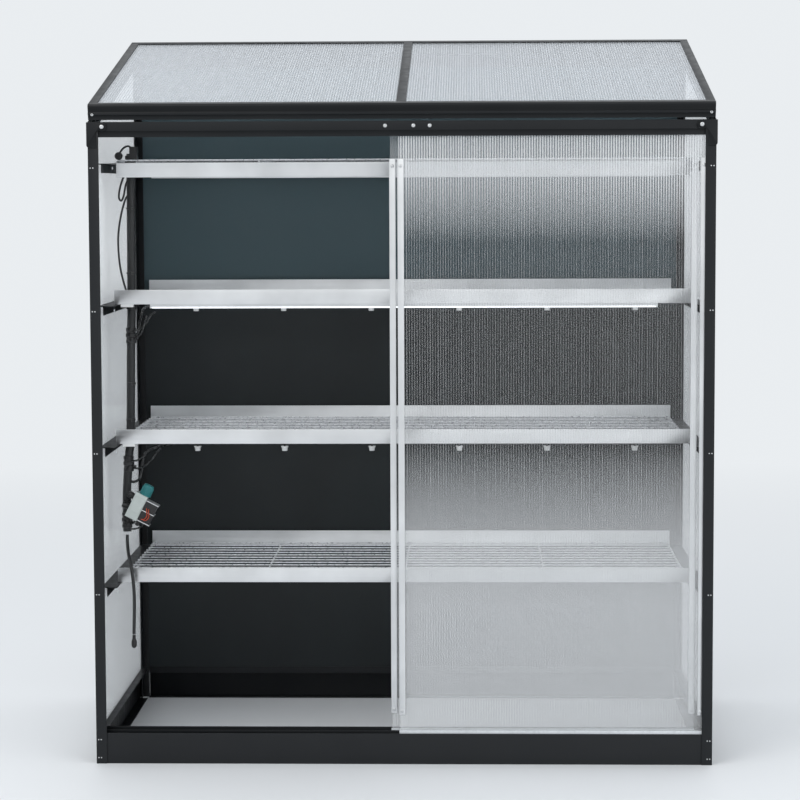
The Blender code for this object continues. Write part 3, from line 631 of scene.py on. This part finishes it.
def fluted_sheet(name, node_name, u_range, w_range, ends, place, finishes):
    """A ribbed hollow sheet: u runs across the ribs, w through the sheet, v along the channels.

    ends(u) gives the two ends of the channels, and place(u, v, w) the point.
    """
    count = round((u_range[1] - u_range[0] - RIB) / RIB_PITCH)
    pitch = (u_range[1] - u_range[0] - RIB) / count
    across = []
    for k in range(count + 1):
        left = u_range[0] + k * pitch
        across += [left, left + RIB]
    through = [w_range[0], w_range[0] + SKIN, w_range[1] - SKIN, w_range[1]]
    bm = bmesh.new()
    grid = []
    for end in (0, 1):
        rows = [[bm.verts.new(place(u, ends(u)[end], w)) for w in through] for u in across]
        grid.append(rows)
    near, far = grid

    def strip(i, j, m, n, material):
        face = bm.faces.new([near[i][j], near[m][n], far[m][n], far[i][j]])
        face.material_index = material

    last = len(across) - 1
    for i in range(last):
        rib = i % 2 == 0
        for j in (0, 3):
            strip(i, j, i + 1, j, int(rib))
        if not rib:
            strip(i, 1, i + 1, 1, 0)
            strip(i, 2, i + 1, 2, 0)
            strip(i, 1, i, 2, 1)
            strip(i + 1, 1, i + 1, 2, 1)
        for rows in grid:
            for j in ((0, 1, 2) if rib else (0, 2)):
                face = bm.faces.new([rows[i][j], rows[i + 1][j], rows[i + 1][j + 1], rows[i][j + 1]])
                face.material_index = 1
    for i in (0, last):
        for j in range(3):
            strip(i, j, i, j + 1, 1)
    piece(name, bm, finishes(u_range[0] + RIB / 2, pitch), home[node_name],
          (node_name,), smooth=False)


def sheet_finishes(name, axis, look, tint, rib):
    """What makes a sheet's skin and rib materials, once its first rib and its pitch are known."""
    def finishes(origin, pitch):
        return [sheet_skin(f"{name}_skin", axis, origin, pitch, look, tint), sheet_rib(f"{name}_rib", *rib)]

    return finishes


def upright(u, v, w):
    """Channels upright, ribs side by side along X."""
    return (u, w, v)


def sidewall(u, v, w):
    """Channels upright, ribs side by side along Y."""
    return (w, u, v)


def dress_doors():
    """The sliding doors' sheets."""
    for name, look in (("front_door_panel", FRONT_DOOR_LOOK), ("rear_door_panel", REAR_DOOR_LOOK)):
        low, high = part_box(name)
        fluted_sheet(f"{name}_sheet", name, (low.x, high.x), (low.y, high.y),
                     lambda u, low=low, high=high: (low.z, high.z), upright,
                     sheet_finishes(name, "X", look, DOOR_TINT, DOOR_RIB))


def dress_sides():
    """The side sheets, cut to the roof's slope at the top."""
    for name in ("side_panel_left", "side_panel_right"):
        low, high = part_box(name)
        points = [v.co for v in frame["nodes"][name].data.vertices]
        front_top = max(p.z for p in points if abs(p.y - low.y) < WELD)

        def top_at(y, low=low, high=high, front_top=front_top):
            return front_top + (high.z - front_top) * (y - low.y) / (high.y - low.y)

        fluted_sheet(f"{name}_sheet", name, (low.y, high.y), (low.x, high.x),
                     lambda u, low=low, top_at=top_at: (low.z, top_at(u)), sidewall,
                     sheet_finishes(name, "Y", SIDE_LOOK, SIDE_TINT, SIDE_RIB))


def dress_back():
    """The charcoal back sheet."""
    low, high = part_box("back_panel")
    finish = charcoal(low.y, high.y)
    fluted_sheet("back_panel_sheet", "back_panel", (low.x, high.x), (low.y, high.y),
                 lambda u: (low.z, high.z), upright, lambda origin, pitch: [finish, finish])


def lid_axes():
    """The lid's hinge point, and the directions down its slope and out of it."""
    hinge = next(j for j in frame["joints"] if j["name"] == "lid_hinge")
    origin = Vector(hinge["pos_m"])
    low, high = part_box("lid_pane_left")
    points = [v.co for v in frame["nodes"]["lid_pane_left"].data.vertices]
    front = [p for p in points if p.y < (low.y + high.y) / 2]
    rear = [p for p in points if p.y >= (low.y + high.y) / 2]
    top_front = max(front, key=lambda p: p.z)
    top_rear = max(rear, key=lambda p: p.z)
    down = top_front - top_rear
    down.x = 0
    down.normalize()
    out = Vector((0, down.z, -down.y))
    return origin, down, out


def in_lid(origin, down, out, x, v, w):
    """The point at x, v along the lid from the hinge and w out of it."""
    return Vector((x, origin.y, origin.z)) + down * v + out * w


def dress_lid():
    """The lid's two panes, ribbed from hinge to front."""
    origin, down, out = lid_axes()
    for name in ("lid_pane_left", "lid_pane_right"):
        points = [v.co for v in frame["nodes"][name].data.vertices]
        along = [(p - origin).dot(down) for p in points]
        proud = [(p - origin).dot(out) for p in points]
        low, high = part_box(name)
        fluted_sheet(f"{name}_sheet", name, (low.x, high.x), (min(proud), max(proud)),
                     lambda u, along=along: (min(along), max(along)),
                     lambda u, v, w: in_lid(origin, down, out, u, v, w),
                     sheet_finishes(name, "X", LID_LOOK, LID_TINT, LID_RIB))


# ---------------------------------------------------------------- shelves

def dress_shelves(finish):
    """Round wires welded over cross wires, one mesh for each shelf."""
    for number in range(1, 5):
        name = f"shelf_grid_{number}"
        low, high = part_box(name)
        bm = bmesh.new()
        cross_z = low.z + CROSS_RADIUS
        long_z = cross_z + CROSS_RADIUS + WIRE_RADIUS - WELD_SINK
        pitch = (high.y - low.y - 2 * SHELF_INSET) / (LONG_WIRES - 1)
        for k in range(LONG_WIRES):
            y = low.y + SHELF_INSET + pitch * k
            sweep(bm, [(low.x, y, long_z), (high.x, y, long_z)], WIRE_RADIUS, 10)
        reach = high.x - CROSS_RADIUS
        for k in range(CROSS_WIRES):
            x = -reach + 2 * reach * k / (CROSS_WIRES - 1)
            sweep(bm, [(x, low.y, cross_z), (x, high.y, cross_z)], CROSS_RADIUS, 10)
        piece(f"{name}_wires", bm, [finish], home[name], (name,))


# ---------------------------------------------------------------- watering and light

def in_metres(points):
    """A route given in millimetres, in metres."""
    return [Vector(p) * MM for p in points]


def dress_riser(rubber, fitting):
    """The upright hose with its couplings, ties, side block, knob and small hose loops."""
    bm = bmesh.new()
    route = smooth_route(in_metres([(x, RISER_Y, z) for x, z in RISER_ROUTE]), ROUTE_STEPS)
    sweep(bm, route, RISER_RADIUS * MM, 20)
    for x, z in COUPLINGS:
        lathe(bm, COLLAR, Matrix.Translation(Vector((x, RISER_Y, z)) * MM), 20, 1)
        if z > BARBED_BELOW:
            continue
        for angle in BARB_ANGLES:
            turn = math.radians(angle)
            middle = Vector((x, RISER_Y, z + BARB_RISE)) * MM
            lathe(bm, BARB, facing(middle, (math.cos(turn), math.sin(turn), 0)), 12, 1)
    for x, z in TIES:
        spot = Vector((x, RISER_Y, z))
        low, high = [(spot + Vector(corner)) * MM for corner in TIE_TAIL]
        lathe(bm, TIE, Matrix.Translation(spot * MM), 20, 1)
        block(bm, low, high, material=1)
    low, high = zip(*SIDE_BLOCK)
    block(bm, Vector(low) * MM, Vector(high) * MM, material=1)
    lathe(bm, KNOB_WHEEL, facing(Vector(KNOB) * MM, (0, -1, 0)), 24, 1)
    for loop in HOSE_LOOPS:
        sweep(bm, smooth_route(in_metres(loop), ROUTE_STEPS), LOOP_RADIUS * MM, 10)
    piece("water_riser_hose", bm, [rubber, fitting], "frame", ("water_riser",))


def dress_thin_hoses(glossy):
    """The thin feed hoses from the couplings to the mist lines and the valve."""
    bm = bmesh.new()
    for route in THIN_HOSES:
        sweep(bm, smooth_route(in_metres(route), THIN_STEPS), THIN_RADIUS * MM, 10)
    piece("thin_hoses", bm, [glossy], "frame")


def hang_feed_hose(rubber, fitting):
    """The hose hanging from the riser's foot, ending in a dripper."""
    bm = bmesh.new()
    route = smooth_route(in_metres(FEED_ROUTE), FEED_STEPS)
    sweep(bm, route, FEED_DIAMETER / 2 * MM, 16)
    hose = piece("feed_hose_line", bm, [rubber], "frame", ("feed_hose",))
    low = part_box("feed_dripper")[0]
    end = route[-1]
    bm = bmesh.new()
    lathe(bm, DRIPPER, Matrix.Translation((end.x, end.y, low.z)), 20)
    dripper = piece("feed_dripper_body", bm, [fitting], "frame", ("feed_dripper",))


def dress_mist_lines(white, rubber):
    """Thin hoses that rise from the couplings and run under the shelves, with white cup nozzles."""
    for number in (2, 3):
        name = f"mist_line_{number}"
        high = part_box(name)[1]
        z = high.z - MIST_RADIUS * MM
        lift = Vector((0, 0, z - MIST_START_DROP * MM))
        route = [p + lift for p in smooth_route(in_metres(MIST_TAKE_OFF + MIST_BEND), ROUTE_STEPS)]
        y = route[-1].y
        bm = bmesh.new()
        sweep(bm, route + [Vector((high.x, y, z))], MIST_RADIUS * MM, 12)
        for k in range(NOZZLES):
            place = Matrix.Translation(((NOZZLE_FIRST + NOZZLE_PITCH * k) * MM, y, z))
            lathe(bm, NOZZLE_STEM, place, 16)
            lathe(bm, NOZZLE_CUP, place, 20, 1)
        piece(f"{name}_hose", bm, [rubber, white], "frame", (name,))


def dress_valve(teal, pale, dark, metal, red):
    """The drip valve: pale body with a teal cap, and a black battery case with its wires."""
    lean = Matrix.Rotation(math.radians(VALVE_LEAN), 4, "Y")
    place = Matrix.Translation(Vector(VALVE_PLACE) * MM) @ lean

    def part(name, finish, blocks=(), turned=(), stands_for=(), edge=0):
        bm = bmesh.new()
        for low, high in blocks:
            block(bm, Vector(low) * MM, Vector(high) * MM, place)
        for profile, spot in turned:
            lathe(bm, profile, place @ spot, 24)
        item = piece(name, bm, [finish], "frame", stands_for)
        if edge:
            soften(item, edge)

    def shifted(x, y=0, z=0):
        return Matrix.Translation((x * MM, y * MM, z * MM))

    part("drip_valve_body", pale, VALVE_BODY, stands_for=("drip_valve",), edge=1.6 * MM)
    turned = [(VALVE_CAP, shifted(VALVE_CAP_X))]
    for k in range(VALVE_RIDGES):
        turn = 2 * math.pi * k / VALVE_RIDGES
        spot = shifted(VALVE_CAP_X + VALVE_RIDGE_OUT * math.cos(turn), VALVE_RIDGE_OUT * math.sin(turn))
        turned.append((VALVE_RIDGE, spot))
    part("drip_valve_cap", teal, turned=turned)
    part("drip_valve_case", dark, [VALVE_CASE], [(VALVE_SPOUT, shifted(VALVE_SPOUT_X))],
         edge=1.0 * MM)
    part("drip_valve_trim", metal, VALVE_TRIMS)
    outward = Matrix.Rotation(-math.pi / 2, 4, "Y")
    for name, centre in VALVE_UNIONS.items():
        part(f"drip_valve_union_{name}", dark,
             turned=[(VALVE_UNION, shifted(*centre) @ outward)])
    bm = bmesh.new()
    for wire in VALVE_WIRES:
        route = [place @ p for p in smooth_route(in_metres(wire), ROUTE_STEPS)]
        sweep(bm, route, WIRE_INSULATION * MM, 8)
    piece("drip_valve_wires", bm, [red], "frame")


def dress_light(shell, glow_paint):
    """The light strip: an aluminium channel with its diffuser below and in front, which carries a painted glow."""
    low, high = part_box("light_strip")
    bm = bmesh.new()
    block(bm, (low.x, low.y + CHANNEL_STEP_IN * MM, low.z + CHANNEL_BOTTOM * MM), high)
    for x in (low.x, high.x - LIGHT_CAP_LENGTH * MM):
        cap_size = Vector((LIGHT_CAP_LENGTH, LIGHT_CAP_DEPTH, LIGHT_CAP_HEIGHT)) * MM
        corner = Vector((x, low.y, low.z))
        block(bm, corner, corner + cap_size)
    channel = piece("light_strip_channel", bm, [shell], "frame", ("light_strip",))
    soften(channel, 0.4 * MM)
    bm = bmesh.new()
    block(bm, (low.x + DIFFUSER_INSET * MM, low.y, low.z),
          (high.x - DIFFUSER_INSET * MM, high.y - DIFFUSER_BACK * MM, low.z + DIFFUSER_HEIGHT * MM))
    tube = piece("light_strip_diffuser", bm, [glow_paint], "frame")
    soften(tube, 0.8 * MM)


# ---------------------------------------------------------------- doors' edging and screws

def dress_edging(finish):
    """The plastic channel along the bottom of each door."""
    for name in ("front_door_bottom_edge", "rear_door_bottom_edge"):
        edged_copy(name, finish, 0.4 * MM)


def screws(name, finish, body, places, radius):
    """A group of like button heads with turned sockets; places are (point, direction)."""
    profile = [(share * radius, level * HEAD_HEIGHT * radius) for share, level in HEAD_PROFILE]
    bm = bmesh.new()
    for point, direction in places:
        lathe(bm, profile, facing(point, direction), 24)
    piece(name, bm, [finish], body)


def add_screws(bright, dark):
    """The screws of the frame, lid and doors."""
    front = (0, -1, 0)
    header_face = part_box("door_track_top")[0].y
    screws("header_screws", bright, "frame",
           [((x * MM, header_face, HEADER_SCREW_Z * MM), front) for x in HEADER_SCREWS_X], HEADER_SCREW)
    ear_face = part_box("corner_bracket_right")[0].y
    screws("bracket_screws", bright, "frame",
           [((side * EAR_X * MM, ear_face, HEADER_SCREW_Z * MM), front) for side in (-1, 1)], EAR_SCREW)

    post_low, post_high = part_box("post_front_right")
    rear_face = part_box("post_rear_right")[1].y
    on_front = []
    on_side = []
    on_rear = []
    for z in POST_SCREWS_Z:
        for side in (-1, 1):
            for x in POST_SCREWS_X:
                on_front.append(((side * x * MM, post_low.y, z * MM), front))
                on_rear.append(((side * x * MM, rear_face, z * MM), (0, 1, 0)))
            for y in (-POST_SCREW_Y, POST_SCREW_Y):
                on_side.append(((side * post_high.x, y * MM, z * MM), (side, 0, 0)))
    screws("post_screws_front", bright, "frame", on_front, POST_SCREW_FRONT)
    screws("post_screws_side", dark, "frame", on_side, POST_SCREW_SIDE)
    screws("post_screws_rear", dark, "frame", on_rear, POST_SCREW_REAR)

    bolts = []
    for number in range(1, 5):
        for hand, side in (("left", -1), ("right", 1)):
            low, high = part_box(f"shelf_rail_{hand}_{number}")
            inner = low.x if side > 0 else high.x
            for y in RAIL_BOLTS_Y:
                bolts.append(((inner, y * MM, high.z - RAIL_BOLT_DROP * MM), (-side, 0, 0)))
    screws("shelf_rail_bolts", bright, "frame", bolts, RAIL_BOLT)

    lid_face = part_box("lid_rail_front")[0].y + LID_SCREW_IN * MM
    on_lid = [((side * LID_SCREW_X * MM, lid_face, LID_SCREW_Z * MM), front) for side in (-1, 1)]
    screws("lid_screws", bright, "lid", on_lid, LID_SCREW)
    for door in ("front_door", "rear_door"):
        places = []
        for hand in ("left", "right"):
            low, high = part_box(f"{door}_handle_{hand}")
            for z in (high.z - DOOR_SCREW_DROP * MM, low.z + DOOR_SCREW_RISE * MM):
                places.append((((low.x + high.x) / 2, low.y, z), front))
        screws(f"{door}_screws", bright, door, places, DOOR_SCREW)


def add_bar_blocks(white):
    """Small pads under the left ends of two front shelf bars."""
    for number in (2, 3):
        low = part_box(f"shelf_bar_front_{number}")[0]
        bm = bmesh.new()
        block(bm, (PAD_LEFT * MM, low.y, low.z - PAD_HEIGHT * MM),
              (PAD_RIGHT * MM, low.y + PAD_DEPTH * MM, low.z))
        pad = piece(f"bar_pad_{number}", bm, [white], "frame")
        soften(pad, 0.8 * MM)


# ---------------------------------------------------------------- stage

def lay_floor():
    """A wide pale floor that fades into the background."""
    mat, tree, shader = start_material("studio_floor", FLOOR_COLOR, 0.0, 0.6)
    place = tree.nodes.new("ShaderNodeTexCoord")
    length = tree.nodes.new("ShaderNodeVectorMath")
    length.operation = "LENGTH"
    tree.links.new(place.outputs["Object"], length.inputs[0])
    far = spread(tree, length.outputs["Value"], 0, 1, FADE_START, FADE_END)
    glow = tree.nodes.new("ShaderNodeEmission")
    glow.inputs["Color"].default_value = (*BACKDROP, 1.0)
    glow.inputs["Strength"].default_value = BACKDROP_STRENGTH
    mix = tree.nodes.new("ShaderNodeMixShader")
    output = tree.nodes["Material Output"]
    tree.links.new(far, mix.inputs["Fac"])
    tree.links.new(shader.outputs["BSDF"], mix.inputs[1])
    tree.links.new(glow.outputs["Emission"], mix.inputs[2])
    tree.links.new(mix.outputs["Shader"], output.inputs["Surface"])
    bm = bmesh.new()
    bmesh.ops.create_circle(bm, cap_ends=True, segments=96, radius=FLOOR_RADIUS)
    mesh = bpy.data.meshes.new("studio_floor")
    bm.to_mesh(mesh)
    bm.free()
    mesh.materials.append(mat)
    floor = bpy.data.objects.new("studio_floor", mesh)
    bpy.context.scene.collection.objects.link(floor)


def area_light(name, place, target, side, power, color):
    """A soft square lamp aimed at a point."""
    lamp = bpy.data.lights.new(name, "AREA")
    lamp.shape = "RECTANGLE"
    lamp.size = side
    lamp.size_y = side
    lamp.energy = power
    lamp.color = color
    item = bpy.data.objects.new(name, lamp)
    item.location = place
    item.rotation_mode = "QUATERNION"
    item.rotation_quaternion = (Vector(target) - Vector(place)).to_track_quat("-Z", "Y")
    bpy.context.scene.collection.objects.link(item)


def light_stage():
    """Pale surroundings and soft lamps."""
    world = bpy.data.worlds.new("studio")
    world.use_nodes = True
    background = world.node_tree.nodes["Background"]
    background.inputs["Color"].default_value = (*BACKDROP, 1.0)
    background.inputs["Strength"].default_value = BACKDROP_STRENGTH
    bpy.context.scene.world = world
    for lamp in LAMPS:
        area_light(*lamp)


def place_camera():
    """The camera at the photograph's viewpoint."""
    data = bpy.data.cameras.new("camera")
    data.sensor_width = 36.0
    data.lens = CAMERA_LENS
    camera = bpy.data.objects.new("camera", data)
    camera.matrix_world = (
        Matrix.Translation(CAMERA_PLACE)
        @ Matrix.Rotation(CAMERA_TURN, 4, "Z")
        @ Matrix.Rotation(-CAMERA_TILT, 4, "X")
        @ Matrix.Rotation(CAMERA_ROLL, 4, "Y")
        @ Matrix.Rotation(math.pi / 2, 4, "X")
    )
    bpy.context.scene.collection.objects.link(camera)
    bpy.context.scene.camera = camera


# ---------------------------------------------------------------- build

def main():
    place_camera()
    lay_floor()
    light_stage()
    bpy.context.scene.view_settings.view_transform = "Standard"
    bpy.context.scene.cycles.transparent_max_bounces = 32

    black = powder_coat()
    along_x = aluminium("aluminium_lengthwise", (0.01, 1, 1))
    along_z = aluminium("aluminium_upright", (1, 1, 0.01))
    bright = aluminium("screw_steel", (1, 1, 1), SCREW_STEEL)
    plastics = {name: plastic(name, *look) for name, look in PLASTICS.items()}
    rubber = plastics["black_rubber"]
    fitting = plastics["black_fitting"]
    glossy = plastics["glossy_hose"]
    white = plastics["white_plastic"]

    dress_metal(black, along_x, along_z)
    dress_doors()
    dress_sides()
    dress_back()
    dress_lid()
    dress_shelves(zinc())
    dress_riser(rubber, fitting)
    dress_thin_hoses(glossy)
    hang_feed_hose(rubber, fitting)
    dress_mist_lines(white, glossy)
    dress_valve(plastics["teal_plastic"], plastics["pale_plastic"], fitting, along_z, plastics["red_wire"])
    dress_light(along_x, painted_glow())
    dress_edging(plastics["edging_plastic"])
    add_screws(bright, fitting)
    add_bar_blocks(white)


main()
